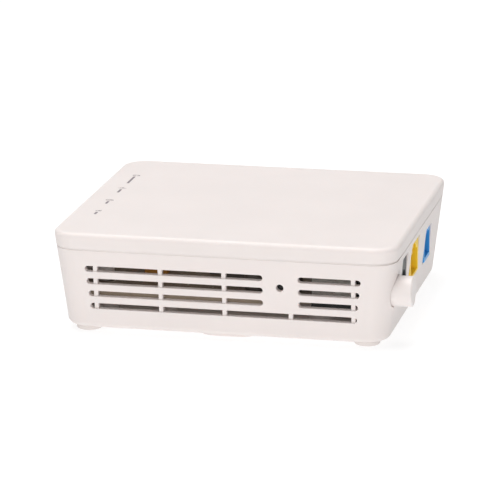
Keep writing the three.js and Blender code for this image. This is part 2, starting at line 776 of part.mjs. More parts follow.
function addBoardParts() {
  add(board, "main_processor", slab(17, 17, 1.2), CHIP, [0, 10, SEAT]);
  add(board, "thermal_pad", slab(15, 15, 0.5), PAD_GREY, [0, 10, 1.25]);
  add(board, "heat_sink", heatSink(), ALUMINIUM, [0, 10, 1.8]);
  for (const [name, x, y, length, width, height] of CHIPS) {
    add(board, name, slab(length, width, height), CHIP, [x, y, SEAT]);
  }
  add(board, "crystal", plate([11.2, 4.6], 2.2, [0, 3.4], 4), STEEL, [-12, 24, SEAT]);
  add(board, "lan_transformer", lanTransformer(), CHIP, [26, -4, SEAT]);
  INDUCTORS.forEach(([x, y], i) => {
    const body = plate([7.2, 7.2], 1.2, [0, 3.9], 2);
    add(board, `supply_inductor_${i + 1}`, body, INDUCTOR_GREY, [x, y, SEAT]);
  });
  ELECTROLYTICS.forEach(([x, y, radius, height], i) => {
    const can = electrolytic(radius, height);
    add(board, `electrolytic_capacitor_${i + 1}`, can, CAN_SLEEVE, [x, y, SEAT]);
  });
  const tantalum = plate([7.3, 4.3], 0.3, [0, 2.9], 1);
  add(board, "tantalum_capacitor", tantalum, ORANGE, [-27, -19, SEAT]);
  add(board, "input_diode", plate([4.6, 2.8], 0.2, [0, 2.2], 1), CHIP, [31, -17, SEAT]);
}

// ---------------------------------------------------------------- moving parts
// Hollow round cap with a core that is bored square for the switch's stem.
function buttonCap() {
  const backX = 46.5;
  const profile = [
    [0, backX],
    [BUTTON_R, backX],
    [BUTTON_R, BUTTON_TIP_X - 0.7],
    [BUTTON_R - 0.25, BUTTON_TIP_X - 0.2],
    [BUTTON_R - 0.8, BUTTON_TIP_X],
    [0, BUTTON_TIP_X],
  ];
  const hollow = rod("x", BUTTON_R - 1.1, [46, BUTTON_TIP_X - 1.0], [0, 0], 32);
  const core = rod("x", 2.9, [47.6, 57], [0, 0]);
  const bore = around(0, 3.5);
  return cut(solid(turnedX(profile, 40)), cut(hollow, core), block([46, 56.2], bore, bore));
}

// Square stem, thicker inside the switch, with a round collar for the spring.
function switchStem() {
  const thin = around(0, 3.3);
  const thick = around(0, 4.1);
  return join(
    block([31.0, 56.0], thin, thin),
    block([31.0, 39.9], thick, thick),
    rod("x", 3.3, [45.2, 46.2], [0, 0]),
  );
}

function addMovingParts() {
  add(powerButton, "power_button_cap", buttonCap(), WHITE_BUTTON);
  add(powerButton, "power_switch_stem", switchStem(), WHITE_STEM);
  const plunger = join(
    rod("y", 1.55, [-2.1, 1.5], [0, 0]),
    rod("y", 1.75, [0.35, 1.55], [0, 0]),
  );
  add(resetButton, "reset_plunger", plunger, WHITE_PLUNGER);
}

// ---------------------------------------------------------------- assembly
addHousing();
add(board, "main_board", mainBoard(), BOARD_MASK);
addIndicators();
addLanJack();
addPowerInlet();
addOpticalReceptacle();
addTransceiver();
addPowerSwitch();
addResetSwitch();
addBoardParts();
addMovingParts();

// centre the footprint, from the front wall to the button's tip
terminal.position.x = -(BUTTON_TIP_X - LENGTH / 2) / 2;

export default terminal;
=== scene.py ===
"""A small white desktop optical network terminal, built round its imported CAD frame.

A low box with rounded, drafted walls stands on four feet, its top facing +Z. Slots run along the
-Y and +Y walls, the ports and the power button are in the +X wall, and the lamps show through
the -X wall. Build works in millimetres with X measured from the box's middle; objects are made
in the row frame, in metres.
"""

import json
import math
from functools import partial

import bmesh
import bpy
import numpy as np
from mathutils import Matrix, Vector
from mathutils.geometry import delaunay_2d_cdt

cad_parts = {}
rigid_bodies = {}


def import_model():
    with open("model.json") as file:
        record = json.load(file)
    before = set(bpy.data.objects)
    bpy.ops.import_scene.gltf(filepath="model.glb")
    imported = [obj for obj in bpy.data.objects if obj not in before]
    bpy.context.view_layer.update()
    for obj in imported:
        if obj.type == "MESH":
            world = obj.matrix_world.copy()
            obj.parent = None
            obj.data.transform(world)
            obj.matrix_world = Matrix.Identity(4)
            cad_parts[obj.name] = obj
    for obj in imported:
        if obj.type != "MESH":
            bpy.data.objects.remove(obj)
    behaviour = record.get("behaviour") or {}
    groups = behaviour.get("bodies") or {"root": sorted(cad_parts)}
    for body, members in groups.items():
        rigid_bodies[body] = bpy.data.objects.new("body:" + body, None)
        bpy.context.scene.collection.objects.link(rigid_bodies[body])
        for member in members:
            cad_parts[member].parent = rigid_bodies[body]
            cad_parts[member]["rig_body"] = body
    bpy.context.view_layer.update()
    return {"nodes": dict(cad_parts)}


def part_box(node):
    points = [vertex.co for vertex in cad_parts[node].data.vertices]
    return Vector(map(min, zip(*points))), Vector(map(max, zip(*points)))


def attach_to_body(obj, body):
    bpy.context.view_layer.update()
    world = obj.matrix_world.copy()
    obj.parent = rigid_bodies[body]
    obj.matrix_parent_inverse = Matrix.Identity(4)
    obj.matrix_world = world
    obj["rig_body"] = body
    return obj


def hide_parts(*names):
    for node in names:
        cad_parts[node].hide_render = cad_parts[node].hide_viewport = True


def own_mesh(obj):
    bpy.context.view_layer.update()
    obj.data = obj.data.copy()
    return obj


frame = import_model()


def middle(node):
    """The centre of a CAD piece, in millimetres in the row frame."""
    low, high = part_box(node)
    return ((low + high) / 2) * 1000


def dims(node):
    low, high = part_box(node)
    return (high - low) * 1000


# ------------------------------------------------------------------ sizes, in millimetres
cover_low, cover_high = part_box("top_cover")
LENGTH = (cover_high.x - cover_low.x) * 1000
WIDTH = (cover_high.y - cover_low.y) * 1000
HEIGHT = cover_high.z * 1000
OX = (cover_high.x + cover_low.x) / 2 * 1000  # the box's middle, in the row frame
UNDER_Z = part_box("base_shell")[0].z * 1000 + 1.35  # underside plate
BOARD_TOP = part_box("main_board")[1].z * 1000
BOARD_T = 1.6
TONGUE_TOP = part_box("base_shell")[1].z * 1000

DRAFT = 0.1125  # how far the walls lean in per millimetre downwards
CORNER_R = 7.6
TOP_R = 1.6  # lid's top edge
BOTTOM_R = 1.6  # tub's bottom edge
WALL = 2.2
FLOOR_T = 2.0
FLOOR_Z = UNDER_Z + FLOOR_T
FLOOR_R = 0.9  # inside, between floor and wall
LID_T = 2.0
SKIRT_T = 0.65
TONGUE_IN = 0.9

# the parting line: a fine shallow groove
SEAM_LO, SEAM_HI, SEAM_IN = 26.60, 26.96, 0.13
TUB_EDGE_R = 0.10
LID_EDGE_R = 0.14
# where the lid stands slightly open: x, y, reach, opening
SEAM_SPOTS = (
    (51.5, -42.5, 7.0, 0.85),
    (44.0, -48.0, 13.0, 0.24),
    (-50.5, -46.0, 11.0, 0.2),
)

SLOT_H = 1.8
SLOTS = [(20.8, 42.7), (16.8, 42.3), (12.8, 41.8), (8.8, 41.4)]  # height of centre, half length
SLOT_BREAK = (12.6, 23.5)  # gap along x in the upper three -Y slots
SLOT_SOFT = 0.22
RIBS = [-39.6, -19.3, 0.5, 21.0, 40.3]
LOW_RIB = RIBS[3]  # lies in the slot break, so it only crosses the lowest -Y slot
RIB_W = 1.3
RIB_SET_BACK = 0.45
RIB_OVERLAP = 1.1  # beyond a slot's centre line
RESET_X, RESET_Z, RESET_R = 17.9, 17.9, 1.15
LAMP_Y = [21.3, 7.0, -8.7, -22.2]
LAMP_Z, LAMP_R = 20.0, 1.3
PORT_GAP = 0.4
OPTICAL_PORT = 10.4
BUTTON_HOLE_R = 5.05

POSTS = [(-41, -30), (-41, 30), (41, 33), (27, -27)]
BOARD_RESTS = [(44, -12), (44, 7.5), (-20, -30), (0, 30)]
FEET = ("foot_front_right", "foot_front_left", "foot_rear_right", "foot_rear_left")
FOOT_R, FOOT_THICK, FOOT_WELL_R = 4.0, 2.15, 4.15
PAD_Y, PAD_L, PAD_W, PAD_H = 36.0, 18.6, 12.0, 1.45  # raised keyhole pads
PAD_CORNER_R, PAD_EDGE_R = 5.4, 0.7
KEY_R, KEY_SLOT_R, KEY_REACH, KEY_X = 3.4, 1.7, 8.4, -3.4

MINUS_Y, PLUS_X, PLUS_Y, MINUS_X = range(4)  # the walls, in the order the outline passes them


# ------------------------------------------------------------------ mesh helpers
class Build:
    """Collects points (millimetres) and faces, then makes one object in the row frame."""

    def __init__(self):
        self.v = []
        self.f = []

    def points(self, pts):
        start = len(self.v)
        self.v.extend([tuple(float(c) for c in p) for p in pts])
        return list(range(start, start + len(pts)))

    def bridge(self, a, b):
        n = len(a)
        for i in range(n):
            j = (i + 1) % n
            self.f.append((a[i], a[j], b[j], b[i]))

    def face(self, ids):
        self.f.append(tuple(ids))

    def stack(self, loops):
        """Adds closed loops and joins each to the next; returns their point ids."""
        rings = [self.points(loop) for loop in loops]
        for a, b in zip(rings, rings[1:]):
            self.bridge(a, b)
        return rings

    def flat(self, ids):
        return [self.v[i][:2] for i in ids]

    def object(self, name, material, sharp=32, weighted=True, offset_x=OX):
        mesh = bpy.data.meshes.new(name)
        points = [((x + offset_x) / 1000, y / 1000, z / 1000) for x, y, z in self.v]
        mesh.from_pydata(points, [], self.f)
        mesh.update()
        bm = bmesh.new()
        bm.from_mesh(mesh)
        bmesh.ops.remove_doubles(bm, verts=bm.verts, dist=1e-4 / 1000)
        loose = [v for v in bm.verts if not v.link_faces]
        bmesh.ops.delete(bm, geom=loose, context="VERTS")
        bmesh.ops.recalc_face_normals(bm, faces=bm.faces)
        bm.to_mesh(mesh)
        bm.free()
        made = smooth_object(name, mesh, material, sharp)
        if weighted:
            weight_normals(made)
        return made


def smooth_object(name, mesh, material, sharp):
    """Links a smooth-shaded object; edges over `sharp` degrees stay sharp."""
    mesh.polygons.foreach_set("use_smooth", [True] * len(mesh.polygons))
    mesh.set_sharp_from_angle(angle=math.radians(sharp))
    made = bpy.data.objects.new(name, mesh)
    bpy.context.scene.collection.objects.link(made)
    mesh.materials.clear()
    mesh.materials.append(material)
    return made


def weight_normals(piece):
    modifier = piece.modifiers.new("normals", "WEIGHTED_NORMAL")
    modifier.keep_sharp = True
    modifier.weight = 50


def attach(piece, body, node=None):
    """Tells the frame which body a piece rides, and hides the CAD node it replaces."""
    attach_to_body(piece, body)
    if node:
        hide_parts(node)


def quarter_turn(steps):
    return [math.pi / 2 * k / steps for k in range(steps + 1)]


def rounded(points, radii, steps=7):
    """An open polyline with its corners rounded."""
    out = []
    for i, (p, r) in enumerate(zip(points, radii)):
        if i in (0, len(points) - 1) or r <= 0:
            out.append(tuple(p))
            continue
        corner = np.array(p, float)
        before = np.array(points[i - 1], float) - corner
        after = np.array(points[i + 1], float) - corner
        len_before, len_after = np.linalg.norm(before), np.linalg.norm(after)
        before, after = before / len_before, after / len_after
        angle = math.acos(float(np.clip(before @ after, -1, 1)))
        setback = min(r / math.tan(angle / 2), 0.49 * len_before, 0.49 * len_after)
        radius = setback * math.tan(angle / 2)
        bisector = (before + after) / np.linalg.norm(before + after)
        centre = corner + bisector * (radius / math.sin(angle / 2))
        start, end = corner + before * setback, corner + after * setback
        a0 = math.atan2(*(start - centre)[::-1])
        a1 = math.atan2(*(end - centre)[::-1])
        turn = (a1 - a0 + math.pi) % (2 * math.pi) - math.pi
        for k in range(steps + 1):
            a = a0 + turn * k / steps
            out.append((centre[0] + radius * math.cos(a), centre[1] + radius * math.sin(a)))
    return out


AXIS_TURN = {
    "x": Matrix(((0, 0, 1), (0, 1, 0), (-1, 0, 0))),
    "z": Matrix.Identity(3),
}


def lathe(name, profile, axis, centre, material, n):
    """profile is (radius, place along the axis); centre is in the row frame, in millimetres."""
    build = Build()
    rings = []
    for r, h in profile:
        if r < 1e-6:
            rings.append(build.points([(0, 0, h)]) * n)
        else:
            rings.append(build.points([(x, y, h) for x, y in circle(0, 0, r, n=n)]))
    for low, high in zip(rings, rings[1:]):
        for i in range(n):
            j = (i + 1) % n
            ids = list(dict.fromkeys((low[i], low[j], high[j], high[i])))
            if len(ids) > 2:
                build.face(ids)
    build.v = [tuple(AXIS_TURN[axis] @ Vector(v) + Vector(centre)) for v in build.v]
    return build.object(name, material, offset_x=0.0)


# ------------------------------------------------------------------ flat outlines
def circle(cx, cy, r, grow=0.0, n=48):
    return [
        (
            cx + (r + grow) * math.cos(2 * math.pi * k / n),
            cy + (r + grow) * math.sin(2 * math.pi * k / n),
        )
        for k in range(n)
    ]


def stadium(x0, x1, y0, y1, grow=0.0, seg=8, radius=None):
    """A rectangle with rounded corners; by default its short ends are half circles."""
    r = min(x1 - x0, y1 - y0) / 2 if radius is None else radius
    corners = (
        (x1 - r, y1 - r, 0),
        (x0 + r, y1 - r, 90),
        (x0 + r, y0 + r, 180),
        (x1 - r, y0 + r, 270),
    )
    out = []
    for cx, cy, start in corners:
        for k in range(seg + 1):
            a = math.radians(start + 90 * k / seg)
            p = (cx + (r + grow) * math.cos(a), cy + (r + grow) * math.sin(a))
            if not out or math.dist(p, out[-1]) > 1e-5:
                out.append(p)
    if math.dist(out[0], out[-1]) < 1e-5:
        out.pop()
    return out


def keyhole(cx, cy, grow=0.0):
    """Round entry with a narrow slot towards +X."""
    entry, narrow, end_x = KEY_R + grow, KEY_SLOT_R + grow, cx + KEY_REACH
    mouth = math.asin(min(1, narrow / entry))
    out = []
    for k in range(37):
        a = mouth + (2 * math.pi - 2 * mouth) * k / 36
        out.append((cx + entry * math.cos(a), cy + entry * math.sin(a)))
    for k in range(17):
        a = -math.pi / 2 + math.pi * k / 16
        out.append((end_x + narrow * math.cos(a), cy + narrow * math.sin(a)))
    return out


def inside(poly, x, y):
    result = False
    xj, yj = poly[-1]
    for xi, yi in poly:
        if (yi > y) != (yj > y) and x < (xj - xi) * (y - yi) / (yj - yi) + xi:
            result = not result
        xj, yj = xi, yi
    return result


def sheet(build, outline, outline_ids, holes, to3d, extra=()):
    """Fills a 2-D outline minus holes, given as (loop, ids), with triangles.

    The loops' points already exist in build; extra places are added through to3d.
    """
    pts, ids, edges = [], [], []
    for loop, loop_ids in [(outline, outline_ids)] + holes:
        start = len(pts)
        pts += [Vector(p) for p in loop]
        ids += list(loop_ids)
        edges += [(start + k, start + (k + 1) % len(loop)) for k in range(len(loop))]
    for p in extra:
        pts.append(Vector(p))
        ids.append(None)
    verts, _, faces, origins, *_ = delaunay_2d_cdt(pts, edges, [], 1, 1e-7, True)
    index = {}
    for k, v in enumerate(verts):
        known = [o for o in origins[k] if ids[o] is not None]
        index[k] = ids[known[0]] if known else build.points([to3d(v[0], v[1])])[0]
    for face in faces:
        cx = sum(verts[k][0] for k in face) / len(face)
        cy = sum(verts[k][1] for k in face) / len(face)
        if inside(outline, cx, cy) and not any(inside(loop, cx, cy) for loop, _ in holes):
            build.face([index[k] for k in face])


# ------------------------------------------------------------------ the box's outline
def half_x(z):
    return LENGTH / 2 - DRAFT * (HEIGHT - TOP_R - z)


def half_y(z):
    return WIDTH / 2 - DRAFT * (HEIGHT - TOP_R - z)


# Walls unroll to (s, z): s is the distance round the outline as measured at REF_Z.
REF_Z = 15.0
FLAT_X, FLAT_Y = half_x(REF_Z) - CORNER_R, half_y(REF_Z) - CORNER_R
ARC = CORNER_R * math.pi / 2
CORNER_STEPS = 16


def half_flat(wall):
    return FLAT_X if wall % 2 == 0 else FLAT_Y


CENTRES = [0.0]  # s at the middle of each wall
for wall_index in range(3):
    CENTRES.append(
        CENTRES[-1] + half_flat(wall_index) + ARC + half_flat(wall_index + 1)
    )
S_MIN = -(FLAT_X + ARC / 2)
S_MAX = CENTRES[3] + FLAT_Y + ARC / 2


def perimeter():
    """Places along the outline, from one half corner to the next round each wall."""
    stations = []
    half = CORNER_STEPS // 2
    for wall in range(4):
        flat = half_flat(wall)
        start = CENTRES[wall] - flat - ARC / 2
        n = int(flat / 2)
        stations += [start + ARC / 2 * k / half for k in range(half)]
        stations += [CENTRES[wall] - flat + 2 * flat * k / n for k in range(n + 1)]
        stations += [CENTRES[wall] + flat + ARC / 2 * k / half for k in range(1, half)]
    return stations


STATIONS = perimeter()


def place(wall, u, n, z):
    """u runs along the wall, n is the distance out from the box's middle."""
    return ((u, -n, z), (n, u, z), (-u, n, z), (-n, -u, z))[wall]


def wall_sizes(wall, z):
    """Half length and outward distance of a wall at height z."""
    return (half_x(z), half_y(z)) if wall % 2 == 0 else (half_y(z), half_x(z))


def wall_point(wall, u, z, inset):
    """A point seen along the wall's own normal at horizontal place u."""
    half_u, out = wall_sizes(wall, z)
    past = abs(u) - (half_u - CORNER_R)
    if past <= 0:
        n = out - inset
    else:
        n = out - CORNER_R + math.sqrt(max((CORNER_R - inset) ** 2 - past * past, 0))
    return place(wall, u, n, z)


def wall_to_s(wall, u, z, inset):
    """The same point on the unrolled wall."""
    flat_ref = half_flat(wall)
    flat = wall_sizes(wall, z)[0] - CORNER_R
    if abs(u) <= flat:
        t = u / flat * flat_ref
    else:
        angle = math.asin(min(1, (abs(u) - flat) / (CORNER_R - inset)))
        t = math.copysign(flat_ref + angle * CORNER_R, u)
    return (CENTRES[wall] + t, z)


def s_to_3d(s, z, inset):
    wall = min(range(4), key=lambda k: abs(s - CENTRES[k]) - half_flat(k))
    t = s - CENTRES[wall]
    flat_ref = half_flat(wall)
    half_u, out = wall_sizes(wall, z)
    flat = half_u - CORNER_R
    if abs(t) <= flat_ref:
        return place(wall, t / flat_ref * flat, out - inset, z)
    angle = (abs(t) - flat_ref) / CORNER_R
    u = math.copysign(flat + (CORNER_R - inset) * math.sin(angle), t)
    return place(wall, u, out - CORNER_R + (CORNER_R - inset) * math.cos(angle), z)


def seam_gap(x, y):
    """How far the lid stands open: most at the +X -Y corner."""
    return max(
        gap * math.exp(-((x - cx) ** 2 + (y - cy) ** 2) / reach**2)
        for cx, cy, reach, gap in SEAM_SPOTS
    )


def outline_loop(z, inset):
    pts = [s_to_3d(s, z, inset) for s in STATIONS]
    if SEAM_LO < z < SEAM_HI - 0.02 and inset < 0.5:
        # the groove deepens where the lid stands open
        pts = [s_to_3d(s, z, inset + 0.32 * seam_gap(x, y)) for s, (x, y, _) in zip(STATIONS, pts)]
    elif SEAM_HI <= z <= SEAM_HI + 0.15:
        pts = [(x, y, height + 0.2 * seam_gap(x, y)) for x, y, height in pts]
    return pts


def sweep(build, levels):
    """Outline rings at each (z, inset), joined in turn. Returns the first and last ring."""
    rings = build.stack([outline_loop(z, inset) for z, inset in levels])
    return rings[0], rings[-1]


# ------------------------------------------------------------------ material helpers
class Shader:
    """The node tree of a material or world."""

    def __init__(self, owner):
        owner.use_nodes = True
        self.owner = owner
        self.nodes, self.links = owner.node_tree.nodes, owner.node_tree.links
        self.bsdf = self.nodes.get("Principled BSDF")

    def feed(self, node, inputs):
        """Links a socket or sets a value on each named input."""
        for key, value in inputs.items():
            if isinstance(value, bpy.types.NodeSocket):
                self.links.new(value, node.inputs[key])
            else:
                node.inputs[key].default_value = value

    def surface(self, inputs):
        self.feed(self.bsdf, inputs)

    def node(self, kind, inputs, **settings):
        made = self.nodes.new("ShaderNode" + kind)
        for key, value in settings.items():
            setattr(made, key, value)
        self.feed(made, inputs)
        return made

    def coords(self, scale=(1, 1, 1)):
        source = self.node("TexCoord", {}).outputs["Object"]
        mapping = self.node("Mapping", {"Scale": scale, "Vector": source})
        return mapping.outputs["Vector"]

    def noise(self, vector, scale, detail, rough=0.55):
        inputs = {"Scale": scale, "Detail": detail, "Roughness": rough, "Vector": vector}
        return self.node("TexNoise", inputs).outputs["Fac"]

    def ramp(self, factor, low, high):
        """Blends between two (position, colour) stops."""
        made = self.node("ValToRGB", {"Fac": factor})
        for element, (position, color) in zip(made.color_ramp.elements, (low, high)):
            element.position = position
            element.color = (*color, 1)
        return made.outputs["Color"]

    def span(self, factor, low, high):
        """Stretches the middle of a noise over low to high."""
        inputs = {"From Min": 0.3, "From Max": 0.7, "To Min": low, "To Max": high, "Value": factor}
        return self.node("MapRange", inputs).outputs["Result"]

    def blend(self, factor, a, b):
        inputs = {"Factor": factor, "A": a, "B": b}
        return self.node("Mix", inputs, data_type="RGBA").outputs["Result"]

    def bump(self, height, strength, distance):
        made = self.node("Bump", {"Strength": strength, "Distance": distance, "Height": height})
        self.surface({"Normal": made.outputs["Normal"]})

    def output(self, node_name, socket):
        self.links.new(socket, self.nodes[node_name].inputs["Surface"])


def new_shader(name):
    return Shader(bpy.data.materials.new(name))


def plastic(name, color, roughness, drift, grain, grain_scale,
            subsurface=0.0, specular=0.5, coat=0.0):
    """Moulded plastic: fine grain, broad faint colour drift, roughness that wanders a little."""
    shader = new_shader(name)
    vector = shader.coords()
    color = np.array(color)
    broad = shader.noise(vector, scale=38, detail=2)
    dark, light = color * (1 - drift), np.minimum(color * (1 + drift), 1)
    shader.surface({"Base Color": shader.ramp(broad, (0.35, dark), (0.65, light))})
    wander = shader.noise(vector, scale=160, detail=4)
    shader.surface({"Roughness": shader.span(wander, *roughness)})
    if grain:
        height = shader.noise(vector, scale=grain_scale, detail=2, rough=0.6)
        shader.bump(height, strength=grain, distance=0.00002)
    shader.surface({"Specular IOR Level": specular})
    if subsurface:
        shader.surface({
            "Subsurface Weight": subsurface,
            "Subsurface Radius": (1.0, 0.8, 0.7),
            "Subsurface Scale": 0.0012,
        })
    if coat:
        shader.surface({"Coat Weight": coat, "Coat Roughness": 0.2})
    return shader.owner


def metal(name, color, roughness, stretch, grain):
    shader = new_shader(name)
    vector = shader.coords(stretch)
    fine = shader.noise(vector, scale=2400, detail=3)
    color = np.array(color)
    tone = shader.ramp(
        shader.noise(vector, scale=300, detail=3),
        (0.3, color * 0.86),
        (0.7, np.minimum(color * 1.06, 1)),
    )
    shader.surface({
        "Base Color": tone,
        "Roughness": shader.span(fine, *roughness),
        "Metallic": 1.0,
    })
    shader.bump(fine, strength=grain, distance=0.00003)
    return shader.owner


def chip_material(name):
    """Dark speckled epoxy."""
    shader = new_shader(name)
    vector = shader.coords()
    color = np.array((0.046, 0.040, 0.036))
    speckle = shader.noise(vector, scale=1800, detail=4)
    shader.surface({"Base Color": shader.ramp(speckle, (0.3, color * 0.7), (0.7, color * 1.5))})
    wander = shader.noise(vector, scale=4000, detail=2)
    shader.surface({"Roughness": shader.span(wander, 0.5, 0.68)})
    height = shader.noise(vector, scale=6000, detail=3, rough=0.7)
    shader.bump(height, strength=0.25, distance=0.00003)
    return shader.owner


def board_material(name):
    """Brown solder mask with raised tracks and tinned spots; bare laminate on the cut edges."""
    shader = new_shader(name)
    vector = shader.coords()
    tracks = shader.node("TexBrick", {
        "Scale": 190,
        "Mortar Size": 0.035,
        "Color1": (0.0, 0.0, 0.0, 1),
        "Color2": (0.25, 0.25, 0.25, 1),
        "Mortar": (1, 1, 1, 1),
        "Vector": vector,
    }).outputs["Color"]
    cells = shader.node("TexVoronoi", {"Scale": 330, "Vector": vector}).outputs["Distance"]
    spots = shader.node("Math", {1: 0.13, 0: cells}, operation="LESS_THAN").outputs["Value"]
    mask = shader.ramp(
        shader.noise(vector, scale=90, detail=3),
        (0.3, (0.185, 0.143, 0.110)),
        (0.7, (0.27, 0.212, 0.165)),
    )
    tracked = shader.blend(tracks, mask, (0.33, 0.265, 0.21, 1))
    face = shader.blend(spots, tracked, (0.62, 0.6, 0.55, 1))
    # cut edges are where the true normal is closer to level than upright
    normal = shader.node("NewGeometry", {}).outputs["True Normal"]
    normal_z = shader.node("SeparateXYZ", {"Vector": normal}).outputs["Z"]
    upright = shader.node("Math", {0: normal_z}, operation="ABSOLUTE").outputs["Value"]
    is_edge = shader.node("Math", {1: 0.5, 0: upright}, operation="LESS_THAN").outputs["Value"]
    laminate = shader.ramp(
        shader.noise(shader.coords((0.2, 0.2, 9)), scale=700, detail=2),
        (0.35, (0.31, 0.245, 0.185)),
        (0.65, (0.45, 0.365, 0.28)),
    )
    shader.surface({
        "Base Color": shader.blend(is_edge, face, laminate),
        "Roughness": 0.38,
        "Coat Weight": 0.4,
        "Coat Roughness": 0.15,
    })
    shader.bump(tracks, strength=0.3, distance=0.00004)
    return shader.owner


def clear_plastic(name):
    shader = new_shader(name)
    haze = shader.noise(shader.coords(), scale=900, detail=3)
    shader.surface({
        "Base Color": (0.93, 0.95, 0.95, 1),
        "Transmission Weight": 0.75,
        "IOR": 1.49,
        "Roughness": shader.span(haze, 0.08, 0.22),
    })
    return shader.owner


# ------------------------------------------------------------------ materials
# name: colour, roughness range, colour drift, grain strength, grain scale, other settings
PLASTICS = {
    "white_abs": (
        (0.835, 0.771, 0.750), (0.44, 0.54), 0.010, 0.06, 8000,
        dict(subsurface=0.12, specular=0.26),
    ),
    "white_button": (
        (0.835, 0.775, 0.755), (0.34, 0.44), 0.006, 0.03, 8000, dict(subsurface=0.12),
    ),
    "foot_rubber": ((0.785, 0.725, 0.70), (0.6, 0.75), 0.03, 0.2, 5200, {}),
    "yellow_pbt": ((0.97, 0.645, 0.024), (0.36, 0.5), 0.05, 0.06, 6000, dict(subsurface=0.05)),
    "blue_pbt": ((0.045, 0.335, 0.76), (0.32, 0.46), 0.06, 0.06, 6000, {}),
    "black_pbt": ((0.030, 0.030, 0.029), (0.36, 0.52), 0.15, 0.1, 5000, {}),
    "ivory_pom": ((0.80, 0.78, 0.72), (0.35, 0.5), 0.02, 0.05, 6000, {}),
    "label_paper": ((0.80, 0.80, 0.785), (0.5, 0.6), 0.01, 0.1, 3000, {}),
    "thermal_pad_grey": ((0.27, 0.29, 0.32), (0.7, 0.85), 0.06, 0.3, 3000, {}),
    "capacitor_sleeve": ((0.115, 0.092, 0.077), (0.25, 0.38), 0.1, 0.04, 3000, dict(coat=0.3)),
    "ferrite_grey": ((0.14, 0.12, 0.105), (0.55, 0.7), 0.15, 0.4, 2500, {}),
    "tantalum_orange": ((0.62, 0.27, 0.045), (0.4, 0.55), 0.06, 0.1, 4000, {}),
    "lamp_cream": ((0.86, 0.82, 0.66), (0.2, 0.35), 0.02, 0.02, 3000, dict(coat=0.4)),
    "zirconia": ((0.86, 0.84, 0.79), (0.12, 0.2), 0.01, 0.0, 0, dict(coat=0.5)),
    "ink_grey": ((0.27, 0.235, 0.25), (0.5, 0.6), 0.04, 0.05, 6000, {}),
}
# name: colour, roughness range, texture scale along x, y and z, grain strength
METALS = {
    "tinned_steel": ((0.60, 0.585, 0.55), (0.25, 0.42), (1, 1, 1), 0.1),
    "screw_nickel": ((0.62, 0.61, 0.58), (0.22, 0.38), (1, 1, 1), 0.1),
    "gold_plate": ((0.83, 0.60, 0.27), (0.18, 0.3), (1, 1, 1), 0.1),
    "aluminium": ((0.66, 0.67, 0.68), (0.3, 0.45), (1, 14, 1), 0.1),
    "solder": ((0.68, 0.68, 0.67), (0.2, 0.36), (1, 1, 1), 0.3),
}

materials = {}
for material_name, (*plastic_values, options) in PLASTICS.items():
    materials[material_name] = plastic(material_name, *plastic_values, **options)
for material_name, make in (
    ("chip_epoxy", chip_material),
    ("board_mask", board_material),
    ("light_guide_acrylic", clear_plastic),
):
    materials[material_name] = make(material_name)
for material_name, metal_values in METALS.items():
    materials[material_name] = metal(material_name, *metal_values)


# ------------------------------------------------------------------ base tub
def hole_profile(soft, steps):
    """(growth, depth) pairs of a softened edge."""
    return [(soft * (1 - math.sin(a)), soft * (1 - math.cos(a))) for a in quarter_turn(steps)]


def port(y, width, z0, z1):
    half = width / 2
    outline = partial(
        stadium, y - half - PORT_GAP, y + half + PORT_GAP, z0, z1, seg=4, radius=0.55
    )
    return (PLUS_X, outline, 0.3)


def wall_openings():
    """(wall, outline as a function of growth, edge softening) of every hole in the walls."""
    openings = []
    for row, (z, end) in enumerate(SLOTS):
        low, high = z - SLOT_H / 2, z + SLOT_H / 2
        spans = [(-end, SLOT_BREAK[0]), (SLOT_BREAK[1], end)] if row < 3 else [(-end, end)]
        for x0, x1 in spans:
            openings.append((MINUS_Y, partial(stadium, x0, x1, low, high), SLOT_SOFT))
        openings.append((PLUS_Y, partial(stadium, -end, end, low, high), SLOT_SOFT))
    openings.append((MINUS_Y, partial(circle, RESET_X, RESET_Z, RESET_R, n=40), 0.15))
    for y in LAMP_Y:
        openings.append((MINUS_X, partial(circle, -y, LAMP_Z, LAMP_R, n=32), 0.12))
    for node in ("power_inlet_shell", "lan_jack_shell"):
        size = dims(node)
        top = BOARD_TOP + size.z + PORT_GAP
        openings.append(port(middle(node).y, size.y, BOARD_TOP - 0.4, top))
    half = OPTICAL_PORT / 2
    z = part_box("optical_receptacle")[1].z * 1000 - half
    y = middle("optical_receptacle").y
    openings.append(port(y, OPTICAL_PORT, z - half - PORT_GAP, z + half + PORT_GAP))
    button = middle("power_button_cap")
    openings.append((PLUS_X, partial(circle, button.y, button.z, BUTTON_HOLE_R, n=72), 0.3))
    return openings


def corner_places(rows, holes):
    """Extra places on the unrolled corners, so they stay round; none close to a hole."""
    grown = []
    for loop, _ in holes:
        centre = np.mean(loop, axis=0)
        away = [np.array(p) - centre for p in loop]
        grown.append(
            [tuple(np.array(p) + d / np.linalg.norm(d) * 0.35) for p, d in zip(loop, away)]
        )
    extra = []
    for wall in range(4):
        for k in range(CORNER_STEPS + 1):
            s = CENTRES[wall] + half_flat(wall) + ARC * k / CORNER_STEPS
            if s >= S_MAX - 0.01:
                s -= S_MAX - S_MIN
            if s <= S_MIN + 0.01:
                continue
            extra += [(s, z) for z in rows if not any(inside(g, s, z) for g in grown)]
    return extra


